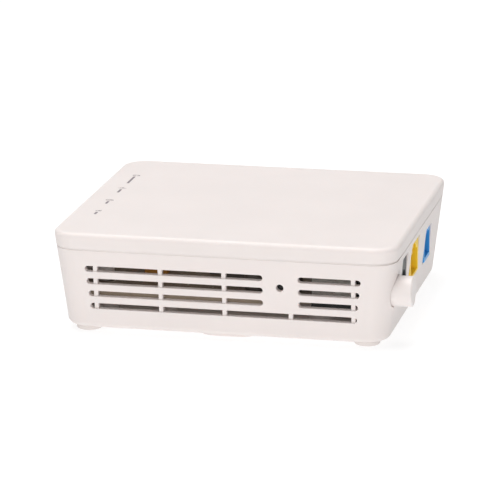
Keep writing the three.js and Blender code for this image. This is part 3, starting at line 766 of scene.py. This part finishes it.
def wall_sheet(build, z_low, z_high, inset, low_ring, high_ring, loops):
    """Fills all four walls between two rings; loops are the holes' (wall, [(u, z)], ids)."""
    last_low = build.points([s_to_3d(S_MAX, z_low, inset)])
    last_high = build.points([s_to_3d(S_MAX, z_high, inset)])
    low = [(s, z_low) for s in STATIONS] + [(S_MAX, z_low)]
    high = [(s, z_high) for s in STATIONS] + [(S_MAX, z_high)]
    rows = [z_low + (z_high - z_low) * k / 14 for k in range(1, 14)]
    end_ids = build.points([s_to_3d(S_MAX, z, inset) for z in rows])
    start_ids = build.points([s_to_3d(S_MIN, z, inset) for z in rows])
    outline = low + [(S_MAX, z) for z in rows] + high[::-1] + [(S_MIN, z) for z in rows[::-1]]
    ids = low_ring + last_low + end_ids + last_high + high_ring[::-1] + start_ids[::-1]
    holes = [
        ([wall_to_s(wall, u, z, inset) for u, z in pts], hole_ids)
        for wall, pts, hole_ids in loops
    ]
    to3d = lambda s, z: s_to_3d(s, z, inset)
    sheet(build, outline, ids, holes, to3d, corner_places(rows, holes))


def add_walls(tub):
    """Bottom edge, rim and walls. Returns the rings round the underside and the floor."""
    z_low, z_high = UNDER_Z + BOTTOM_R, SEAM_LO - TUB_EDGE_R
    under_ring, wall_low = sweep(tub, [
        (UNDER_Z + BOTTOM_R * (1 - math.cos(a)), BOTTOM_R * (1 - math.sin(a)))
        for a in quarter_turn(8)
    ])
    # from the wall's top edge over the groove and tongue to the inside; rows are (z, inset)
    rim = [(z_high, 0.0)] + [
        (z_high + TUB_EDGE_R * math.sin(a), TUB_EDGE_R * (1 - math.cos(a)))
        for a in quarter_turn(4)[1:]
    ]
    rim += [
        (SEAM_LO + 0.01, SEAM_IN - 0.02),
        (SEAM_LO + 0.03, SEAM_IN),
        (SEAM_HI - 0.05, SEAM_IN),
        (SEAM_HI - 0.03, SEAM_IN + 0.02),
        (SEAM_HI - 0.03, TONGUE_IN - 0.03),
        (SEAM_HI, TONGUE_IN),
        (TONGUE_TOP - 0.2, TONGUE_IN),
        (TONGUE_TOP - 0.06, TONGUE_IN + 0.06),
        (TONGUE_TOP, TONGUE_IN + 0.2),
        (TONGUE_TOP, WALL - 0.2),
        (TONGUE_TOP - 0.06, WALL - 0.06),
        (TONGUE_TOP - 0.2, WALL),
    ]
    wall_high, inner_high = sweep(tub, rim)
    floor_ring, inner_low = sweep(tub, [
        (FLOOR_Z + FLOOR_R * (1 - math.cos(a)), WALL + FLOOR_R * (1 - math.sin(a)))
        for a in quarter_turn(4)
    ])

    outer_loops, inner_loops = [], []
    for wall, outline, soft in wall_openings():
        profile = hole_profile(soft, 4) + [(0.0, WALL)]
        rings = tub.stack([
            [wall_point(wall, u, z, depth) for u, z in outline(grow)] for grow, depth in profile
        ])
        outer_loops.append((wall, outline(profile[0][0]), rings[0]))
        inner_loops.append((wall, outline(0.0), rings[-1]))
    wall_sheet(tub, z_low, z_high, 0.0, wall_low, wall_high, outer_loops)
    inner_z = (FLOOR_Z + FLOOR_R, TONGUE_TOP - 0.2)
    wall_sheet(tub, *inner_z, WALL, inner_low, inner_high, inner_loops)
    return under_ring, floor_ring


def cut_up(tub, outline, soft, z_from=UNDER_Z, z_to=FLOOR_Z):
    """Sides of a hole going up from below. Returns its lower and upper (loop, ids)."""
    levels = [(grow, z_from + depth) for grow, depth in hole_profile(soft, 3)] + [(0, z_to)]
    rings = tub.stack([[(x, y, z) for x, y in outline(grow)] for grow, z in levels])
    return (outline(soft), rings[0]), (outline(0), rings[-1])


def add_keyhole_pad(tub, cy):
    """Returns the pad's loop in the plate and the keyhole's loop in the floor."""
    pad = partial(
        stadium, -PAD_L / 2, PAD_L / 2, cy - PAD_W / 2, cy + PAD_W / 2,
        seg=10, radius=PAD_CORNER_R,
    )
    pad_z = UNDER_Z - PAD_H
    levels = [(0.35, UNDER_Z), (0.10, UNDER_Z - 0.10), (0.0, UNDER_Z - 0.35)]  # growth, z
    levels += [
        (-PAD_EDGE_R * (1 - math.cos(a)), pad_z + PAD_EDGE_R * (1 - math.sin(a)))
        for a in quarter_turn(5)
    ]
    rings = tub.stack([[(x, y, z) for x, y in pad(grow)] for grow, z in levels])
    low, high = cut_up(tub, partial(keyhole, KEY_X, cy), 0.25, z_from=pad_z)
    sheet(tub, pad(-PAD_EDGE_R), rings[-1], [low], lambda x, y: (x, y, pad_z))
    return (pad(0.35), rings[0]), high


def add_underside(tub, under_ring, floor_ring):
    """Plate and floor with screw wells, foot wells, label recess, vents and keyhole pads."""
    wells = [(partial(circle, x, y, 2.8, n=40), 0.3, 6.0) for x, y in POSTS]
    for node in FEET:
        c = middle(node)
        wells.append((partial(circle, c.x - OX, c.y, FOOT_WELL_R, n=48), 0.1, UNDER_Z + 0.6))
    label = partial(stadium, -26.3, 26.3, -15.3, 15.3, seg=4, radius=1.2)
    wells.append((label, 0.12, UNDER_Z + 0.35))
    plate_loops, floor_loops = [], []
    for outline, soft, top in wells:
        low, high = cut_up(tub, outline, soft, z_to=top)
        plate_loops.append(low)
        tub.face(high[1])
    for side in (-1, 1):
        for i in range(-2, 3):
            x, y = side * 35, i * 6.5
            vent = partial(stadium, x - 1.0, x + 1.0, y - 2.4, y + 2.4, seg=6)
            low, high = cut_up(tub, vent, 0.2)
            plate_loops.append(low)
            floor_loops.append(high)
    for side in (-1, 1):
        low, high = add_keyhole_pad(tub, side * PAD_Y)
        plate_loops.append(low)
        floor_loops.append(high)
    for ring, loops, z in ((under_ring, plate_loops, UNDER_Z), (floor_ring, floor_loops, FLOOR_Z)):
        sheet(tub, tub.flat(ring), ring, loops, lambda x, y: (x, y, z))


def add_rib(tub, wall, u, z0, z1):
    """An upright rib across the slots, set back from the outer face."""
    half = RIB_W / 2
    section = [  # place across the rib, inset
        (-half, WALL - 0.02),
        (-half, RIB_SET_BACK + 0.14),
        (-half + 0.04, RIB_SET_BACK + 0.04),
        (-half + 0.14, RIB_SET_BACK),
        (half - 0.14, RIB_SET_BACK),
        (half - 0.04, RIB_SET_BACK + 0.04),
        (half, RIB_SET_BACK + 0.14),
        (half, WALL - 0.02),
    ]
    low, high = tub.stack([
        [wall_point(wall, u + du, z, inset) for du, inset in section] for z in (z0, z1)
    ])
    tub.face(low)
    tub.face(high[::-1])


def add_turned(build, x, y, profile):
    """A round post from (radius, z) pairs, closed at both ends of the profile."""
    rings = build.stack([[(px, py, z) for px, py in circle(x, y, r, n=36)] for r, z in profile])
    build.face(rings[-1])
    build.face(rings[0])


def add_post(tub, x, y, r, bore=None):
    """Stands on the floor, just short of the board."""
    z0, z1 = FLOOR_Z - 0.3, BOARD_TOP - BOARD_T - 0.1
    profile = [(r + 0.5, z0), (r, z0 + 0.5), (r, z1 - 0.2), (r - 0.2, z1)]
    if bore:
        profile += [(bore, z1), (bore, z0 + 2.5)]
    add_turned(tub, x, y, profile)


def make_tub():
    tub = Build()
    under_ring, floor_ring = add_walls(tub)
    add_underside(tub, under_ring, floor_ring)
    rib_low = SLOTS[-1][0] - RIB_OVERLAP
    for x in RIBS:
        top_slot = SLOTS[-1] if x == LOW_RIB else SLOTS[0]
        add_rib(tub, MINUS_Y, x, rib_low, top_slot[0] + RIB_OVERLAP)
        add_rib(tub, PLUS_Y, -x, rib_low, SLOTS[0][0] + RIB_OVERLAP)
    for x, y in POSTS:
        add_post(tub, x, y, 4.2, bore=1.5)
    for x, y in BOARD_RESTS:
        add_post(tub, x, y, 2.2)
    piece = tub.object("base_tub", materials["white_abs"], sharp=38)
    attach(piece, "housing", "base_shell")


make_tub()


# ------------------------------------------------------------------ lid
def make_lid():
    lid = Build()
    # from the ceiling down inside the skirt, round its lower edge and up to the top; (z, inset)
    levels = [
        (HEIGHT - LID_T, SKIRT_T + 1.0),
        (HEIGHT - LID_T - 0.3, SKIRT_T + 0.3),
        (HEIGHT - LID_T - 1.0, SKIRT_T),
        (SEAM_HI + 0.1, SKIRT_T),
        (SEAM_HI, SKIRT_T - 0.1),
    ]
    levels += [
        (SEAM_HI + LID_EDGE_R * (1 - math.cos(a)), LID_EDGE_R * (1 - math.sin(a)))
        for a in quarter_turn(5)
    ]
    levels += [
        (HEIGHT - TOP_R + TOP_R * math.sin(a), TOP_R * (1 - math.cos(a)))
        for a in quarter_turn(10)
    ]
    levels.append((HEIGHT, 3.2))
    ceiling, top = sweep(lid, levels)
    lid.face(ceiling[::-1])
    lid.face(top)
    for x, y in POSTS:
        add_turned(lid, x, y, [
            (3.0, HEIGHT - LID_T + 0.3),
            (3.0, BOARD_TOP + 0.4),
            (2.8, BOARD_TOP + 0.2),
            (1.15, BOARD_TOP + 0.2),
            (1.15, 26),
        ])
    piece = lid.object("lid", materials["white_abs"], sharp=38)
    attach(piece, "housing", "top_cover")


make_lid()

# ------------------------------------------------------------------ printed marks beside the lamps
MARK_X = -45.5  # centre line of the marks
MARK_RISE = 1.95  # millimetres per unit of mark height; along the reading direction it is 1
STROKE = 0.26


def band(points, width):
    """A closed loop round an open polyline."""
    p = [np.array(q, float) for q in points]
    left, right = [], []
    for i in range(len(p)):
        along = p[min(i + 1, len(p) - 1)] - p[max(i - 1, 0)]
        along = along / np.linalg.norm(along)
        across = np.array([-along[1], along[0]]) * width / 2
        left.append(tuple(p[i] + across))
        right.append(tuple(p[i] - across))
    return (left + right[::-1], None)


def arc(cx, cy, r, a0, a1, n=14):
    angles = [math.radians(a0 + (a1 - a0) * k / n) for k in range(n + 1)]
    return [(cx + r * math.cos(a), cy + r * math.sin(a)) for a in angles]


def ring_shape(cx, cy, r, width):
    return (circle(cx, cy, r, width / 2, n=24), circle(cx, cy, r, -width / 2, n=24))


def small_box(x0, x1, y0, y1):
    return (stadium(x0, x1, y0, y1, seg=2, radius=0.04), None)


# each icon is a list of (outer loop, inner loop or None)
POWER_ICON = [
    band(arc(0.8, 0.46, 0.62, 125, 415), STROKE * 0.9),
    band([(0.8, 0.5), (0.8, 1.02)], STROKE * 0.9),
]
LINK_ICON = [
    (circle(0.3, 0.5, 0.2, n=16), None),
    band(arc(0.3, 0.5, 0.55, -50, 50), STROKE * 0.8),
    band(arc(0.3, 0.5, 0.95, -45, 45), STROKE * 0.8),
]
LOSS_ICON = [
    ring_shape(0.75, 0.5, 0.58, STROKE * 0.85),
    band([(0.45, 0.2), (1.05, 0.8)], STROKE * 0.85),
]
LAN_ICON = [
    band([(0.75, 0.2), (0.75, 0.75)], STROKE * 0.7),
    band([(0.25, 0.42), (1.25, 0.42)], STROKE * 0.7),
    small_box(0.52, 0.98, 0.68, 1.0),
    small_box(0.05, 0.45, 0.0, 0.3),
    small_box(1.05, 1.45, 0.0, 0.3),
]


def make_mark(name, icon, bar_at, bar_end, start_y):
    """An icon and a plain bar after it, reading towards -Y with their tops towards -X."""
    build = Build()

    def lay(loop, at, z):
        return build.points(
            [(MARK_X - (up - 0.5) * MARK_RISE, start_y - (at + along), z) for along, up in loop]
        )

    def lay_pair(loop, at):
        top, base = lay(loop, at, HEIGHT + 0.012), lay(loop, at, HEIGHT - 0.02)
        build.bridge(top, base)
        return top, base

    bar = band([(0.1, 0.5), (bar_end, 0.5)], STROKE * 1.5)
    for (outer, inner), at in [(shape, 0.0) for shape in icon] + [(bar, bar_at)]:
        top, base = lay_pair(outer, at)
        if inner:
            inner_top, inner_base = lay_pair(inner, at)
            build.bridge(top, inner_top)
            build.bridge(base, inner_base)
        else:
            build.face(top)
            build.face(base[::-1])
    piece = build.object(name, materials["ink_grey"], sharp=30, weighted=False)
    attach(piece, "housing")


make_mark("mark_power", POWER_ICON, bar_at=2.3, bar_end=9.2, start_y=27.7)
make_mark("mark_optical_link", LINK_ICON, bar_at=2.5, bar_end=4.2, start_y=10.5)
make_mark("mark_signal_loss", LOSS_ICON, bar_at=2.2, bar_end=3.2, start_y=-5.6)
make_mark("mark_lan", LAN_ICON, bar_at=2.2, bar_end=3.05, start_y=-19.3)


# ------------------------------------------------------------------ feet and power button
def make_foot(node):
    c = middle(node)
    profile = rounded(
        [(0, 0), (FOOT_R, 0), (FOOT_R, FOOT_THICK), (0, FOOT_THICK)], [0, 0.75, 0.1, 0]
    )
    material = materials["foot_rubber"]
    piece = lathe(node + "_pad", profile, "z", (c.x, c.y, 0), material, n=64)
    attach(piece, "housing", node)


def make_button():
    """A round cap, hollow behind round a central stub, its outer face slightly dished."""
    low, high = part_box("power_button_cap")
    radius = (high.y - low.y) * 500
    y, z = (high.y + low.y) * 500, (high.z + low.z) * 500
    back, face = low.x * 1000, high.x * 1000
    corners = [  # radius, x, corner rounding
        (0, face - 1.2, 0),
        (2.9, face - 1.2, 0.2),
        (2.9, back + 0.9, 0.1),
        (radius - 1.1, back + 0.9, 0.1),
        (radius - 1.1, back, 0.15),
        (radius, back, 0.2),
        (radius, face, 0.55),
        (0, face, 0),
    ]
    profile = rounded([c[:2] for c in corners], [c[2] for c in corners])
    # the dish takes the place of the flat face's centre point
    dish = [(3.4, 0.0), (2.6, 0.05), (1.6, 0.09), (0.8, 0.11), (0, 0.12)]  # radius, depth
    profile = profile[:-1] + [(r, face - depth) for r, depth in dish]
    piece = lathe("button_cap", profile, "x", (0, y, z), materials["white_button"], n=96)
    attach(piece, "power_button", "power_button_cap")


for foot in FEET:
    make_foot(foot)
make_button()

# ------------------------------------------------------------------ CAD pieces given soft edges
# node, material, bevel width
REFINED = [
    ("lan_jack_shell", "yellow_pbt", 0.15),
    ("lan_jack_contacts", "gold_plate", 0.05),
    ("optical_receptacle", "blue_pbt", 0.14),
    ("alignment_sleeve", "zirconia", 0.06),
    ("power_inlet_shell", "black_pbt", 0.15),
    ("power_inlet_pin", "tinned_steel", 0.08),
    ("power_inlet_spring", "tinned_steel", 0.04),
    ("light_guide", "light_guide_acrylic", 0.08),
    ("main_board", "board_mask", 0.05),
    ("power_switch_body", "black_pbt", 0.15),
    ("power_switch_frame", "tinned_steel", 0.08),
    ("power_switch_spring", "tinned_steel", 0),
    ("power_switch_stem", "ivory_pom", 0.12),
    ("reset_switch_body", "black_pbt", 0.12),
    ("reset_switch_bracket", "tinned_steel", 0.07),
    ("reset_plunger", "black_pbt", 0.12),
    ("transceiver_body", "aluminium", 0.12),
    ("laser_can", "gold_plate", 0.06),
    ("photodiode_can", "gold_plate", 0.08),
    ("transceiver_shield", "tinned_steel", 0.06),
    ("main_processor", "chip_epoxy", 0.12),
    ("thermal_pad", "thermal_pad_grey", 0.1),
    ("heat_sink", "aluminium", 0.1),
    ("memory_chip", "chip_epoxy", 0.1),
    ("flash_chip", "chip_epoxy", 0.12),
    ("laser_driver_chip", "chip_epoxy", 0.08),
    ("supply_chip_1", "chip_epoxy", 0.1),
    ("supply_chip_2", "chip_epoxy", 0.1),
    ("crystal", "tinned_steel", 0.2),
    ("lan_transformer", "chip_epoxy", 0.2),
    ("supply_inductor_1", "ferrite_grey", 0.25),
    ("supply_inductor_2", "ferrite_grey", 0.25),
    *[(f"electrolytic_capacitor_{k}", "capacitor_sleeve", 0.08) for k in (1, 2, 3)],
    ("tantalum_capacitor", "tantalum_orange", 0.15),
    ("input_diode", "chip_epoxy", 0.15),
    ("blank_label", "label_paper", 0.05),
    *[(f"indicator_lamp_{k}", "lamp_cream", 0.08) for k in (1, 2, 3, 4)],
    *[(f"case_screw_{k}", "screw_nickel", 0.08) for k in (1, 2, 3, 4)],
]


def refine(node, material, width):
    """A piece with the CAD node's own shape, its edges softened."""
    source = frame["nodes"][node]
    mesh = source.data.copy()
    mesh.name = node + "_fine"
    bm = bmesh.new()
    bm.from_mesh(mesh)
    bmesh.ops.remove_doubles(bm, verts=bm.verts, dist=2e-6)
    bmesh.ops.dissolve_limit(
        bm,
        angle_limit=math.radians(0.6),
        use_dissolve_boundaries=False,
        verts=bm.verts,
        edges=bm.edges,
    )
    bmesh.ops.recalc_face_normals(bm, faces=bm.faces)
    for layer in list(bm.loops.layers.uv):
        bm.loops.layers.uv.remove(layer)
    bm.to_mesh(mesh)
    bm.free()
    piece = smooth_object(node + "_fine", mesh, material, sharp=34)
    if width:
        bevel = piece.modifiers.new("soft", "BEVEL")
        bevel.width = width / 1000
        bevel.segments = 2
        bevel.limit_method = "ANGLE"
        bevel.angle_limit = math.radians(35)
        bevel.use_clamp_overlap = True
        bevel.harden_normals = False
        bevel.miter_outer = "MITER_SHARP"
    weight_normals(piece)
    attach(piece, source["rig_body"], node)
    return piece


refined = {
    node: refine(node, materials[material_name], width)
    for node, material_name, width in REFINED
}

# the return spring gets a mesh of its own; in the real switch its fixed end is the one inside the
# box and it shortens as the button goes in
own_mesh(refined["power_switch_spring"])

# ------------------------------------------------------------------ floor, world, light, camera
scene = bpy.context.scene


def make_floor():
    """A pale sheet just under the feet, clear from below so the underside can be seen."""
    mesh = bpy.data.meshes.new("floor")
    half, z = 6.0, -0.00004  # metres
    corners = ((-half, -half), (half, -half), (half, half), (-half, half))
    mesh.from_pydata([(x, y, z) for x, y in corners], [], [(0, 1, 2, 3)])
    floor = bpy.data.objects.new("floor", mesh)
    scene.collection.objects.link(floor)
    shader = new_shader("floor_paper")
    shader.surface({
        "Base Color": (0.3, 0.3, 0.3, 1),
        "Emission Color": (1.0, 1.0, 1.0, 1),
        "Emission Strength": 0.77,
        "Roughness": 0.9,
        "Specular IOR Level": 0.1,
    })
    below = shader.node("NewGeometry", {}).outputs["Backfacing"]
    clear = shader.node("BsdfTransparent", {}).outputs["BSDF"]
    mix = shader.node("MixShader", {"Fac": below, 1: shader.bsdf.outputs["BSDF"], 2: clear})
    shader.output("Material Output", mix.outputs["Shader"])
    mesh.materials.append(shader.owner)


def set_world():
    """Seen directly it is a pale studio; as light it is weaker."""
    world = scene.world or bpy.data.worlds.new("world")
    scene.world = world
    shader = Shader(world)
    light = shader.nodes["Background"]
    shader.feed(light, {"Color": (1.0, 1.0, 1.0, 1), "Strength": 0.22})
    seen = shader.node("Background", {"Color": (0.9, 0.9, 0.9, 1), "Strength": 1.0})
    direct = shader.node("LightPath", {}).outputs["Is Camera Ray"]
    mix = shader.node("MixShader", {
        "Fac": direct,
        1: light.outputs["Background"],
        2: seen.outputs["Background"],
    })
    shader.output("World Output", mix.outputs["Shader"])


def area_light(name, location, target, size, power, color=(1, 1, 1)):
    """Metres and watts."""
    data = bpy.data.lights.new(name, "AREA")
    data.energy = power
    data.shape = "RECTANGLE"
    data.size, data.size_y = size
    data.color = color
    light = bpy.data.objects.new(name, data)
    light.location = location
    aim = Vector(target) - Vector(location)
    light.rotation_euler = aim.to_track_quat("-Z", "Y").to_euler()
    scene.collection.objects.link(light)
    return light


def make_lights():
    warm = (1.0, 0.985, 0.97)
    area_light("key_front", location=(-0.45, -1.1, 0.6), target=(0, 0, 0.01),
               size=(0.9, 0.7), power=1.4, color=warm)
    area_light("fill_camera", location=(0.24, -1.2, 0.36), target=(0, 0, 0.01),
               size=(0.6, 0.45), power=4.5, color=warm)
    area_light("top", location=(-0.1, 0.1, 1.2), target=(0, 0, 0),
               size=(0.8, 0.8), power=13.05)
    # the thin white shell lets a little light through: faint glows above and below the board
    for name, z, power in (
        ("glow_above_board", 0.0235, 0.0037),
        ("glow_below_board", 0.0108, 0.0014),
    ):
        glow = area_light(name, location=(-0.005, 0, z), target=(-0.005, 0, 0),
                          size=(0.084, 0.078), power=power, color=(1.0, 0.93, 0.86))
        glow.visible_camera = False
        glow.visible_glossy = False


def make_camera():
    """Looks down a little on the -Y wall, from slightly towards +X."""
    azimuth, elevation, roll = (math.radians(a) for a in (12.5039, 15.0501, -0.2385))
    # aim and distance are shares of the box's length
    aim = Vector((-0.01516, 0, 0.15292))
    distance = 9.8087
    back = Vector((
        math.sin(azimuth) * math.cos(elevation),
        -math.cos(azimuth) * math.cos(elevation),
        math.sin(elevation),
    ))
    level = Vector((math.cos(azimuth), math.sin(azimuth), 0))
    upright = back.cross(level)
    right = math.cos(roll) * level + math.sin(roll) * upright
    up = -math.sin(roll) * level + math.cos(roll) * upright
    location = (aim + distance * back) * LENGTH / 1000
    location.x += OX / 1000
    data = bpy.data.cameras.new("camera")
    data.sensor_width = 36
    data.lens = 239.26752
    data.clip_start = 0.05
    data.clip_end = 50
    camera = bpy.data.objects.new("camera", data)
    rows = [(right[i], up[i], back[i], location[i]) for i in range(3)]
    camera.matrix_world = Matrix((*rows, (0, 0, 0, 1)))
    scene.collection.objects.link(camera)
    scene.camera = camera


make_floor()
set_world()
make_lights()
make_camera()
scene.view_settings.view_transform = "Standard"
scene.view_settings.look = "None"
scene.view_settings.exposure = 0.0
scene.view_settings.gamma = 1.0


bpy.context.view_layer.update()
